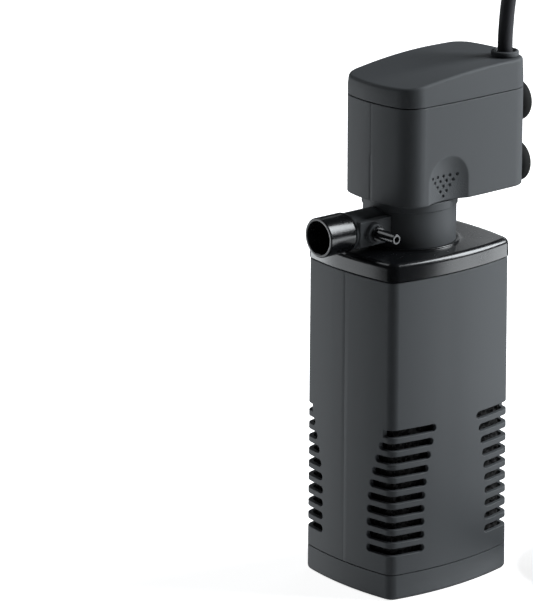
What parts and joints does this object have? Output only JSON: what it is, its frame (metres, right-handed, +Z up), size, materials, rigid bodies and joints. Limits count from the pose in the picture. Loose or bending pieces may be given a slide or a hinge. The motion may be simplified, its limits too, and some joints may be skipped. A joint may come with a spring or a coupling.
{
  "type": "internal aquarium power filter",
  "caption": "Slotted sponge canister under a pump head on a swivel neck, with a side outlet nozzle, air inlet, suction cups and a coiled mains cord.",
  "frame": {"origin": "middle of the flat underside of the canister's bottom cap, on the canister's and the rotor's common axis", "axes": "+Z up along the canister; -Y the way the outlet nozzle points; +Y towards the suction cups; +X the side with the air inlet and the thumb scoop"},
  "size_m": [0.1312, 0.1652, 0.2736],
  "materials": {
    "shell_plastic": "charcoal moulded plastic, semi-gloss",
    "inner_plastic": "dark moulded plastic, satin",
    "foam": "coarse open-cell black filter foam",
    "rubber": "black rubber, satin",
    "cord_pvc": "black flexible PVC, satin",
    "magnet": "dark sintered ferrite",
    "impeller_plastic": "pale grey moulded plastic",
    "ceramic": "polished off-white ceramic",
    "steel": "stacked sheet laminations",
    "bobbin_nylon": "natural nylon",
    "copper": "enamelled copper wire",
    "resin": "cast epoxy, glossy",
    "brass": "plated contact pin"
  },
  "bodies": {
    "base": {"canister_base": "shell_plastic"},
    "canister": {"canister_body": "shell_plastic"},
    "lid": {"canister_lid": "shell_plastic", "core_tube": "inner_plastic", "filter_sponge": "foam"},
    "neck": {"pump_neck": "shell_plastic", "neck_seal": "rubber", "air_inlet_tube": "shell_plastic", "impeller_inlet_plate": "inner_plastic", "lower_bush": "rubber"},
    "nozzle": {"outlet_nozzle": "shell_plastic"},
    "head": {"motor_housing": "shell_plastic", "head_cap": "shell_plastic", "cord_grommet": "rubber", "stator_core": "steel", "coil_bobbin_right": "bobbin_nylon", "coil_bobbin_left": "bobbin_nylon", "coil_winding_right": "copper", "coil_winding_left": "copper", "potting_resin": "resin", "upper_bush": "rubber", "pump_shaft": "ceramic", "suction_cup_1": "rubber", "suction_cup_2": "rubber", "power_cord": "cord_pvc", "cord_coil": "cord_pvc", "cord_tail": "cord_pvc", "cord_tie": "rubber", "plug_body": "rubber", "plug_pin_1": "brass", "plug_pin_2": "brass"},
    "rotor": {"rotor_magnet": "magnet", "impeller": "impeller_plastic"}
  },
  "joints": [
    {"name": "canister_lift", "type": "slide", "parent": "base", "child": "canister", "axis": [0, 0, 1], "range_m": [0, 0.03]},
    {"name": "lid_lift", "type": "slide", "parent": "canister", "child": "lid", "axis": [0, 0, 1], "range_m": [0, 0.12]},
    {"name": "neck_swivel", "type": "hinge", "parent": "lid", "child": "neck", "pos_m": [0, 0, 0.14], "axis": [0, 0, 1], "continuous": true},
    {"name": "nozzle_pull", "type": "slide", "parent": "neck", "child": "nozzle", "axis": [0, -1, 0], "range_m": [0, 0.012]},
    {"name": "head_lift", "type": "slide", "parent": "neck", "child": "head", "axis": [0, 0, 1], "range_m": [0, 0.03]},
    {"name": "rotor_spin", "type": "hinge", "parent": "head", "child": "rotor", "pos_m": [0, 0, 0.17], "axis": [0, 0, 1], "continuous": true}
  ]
}
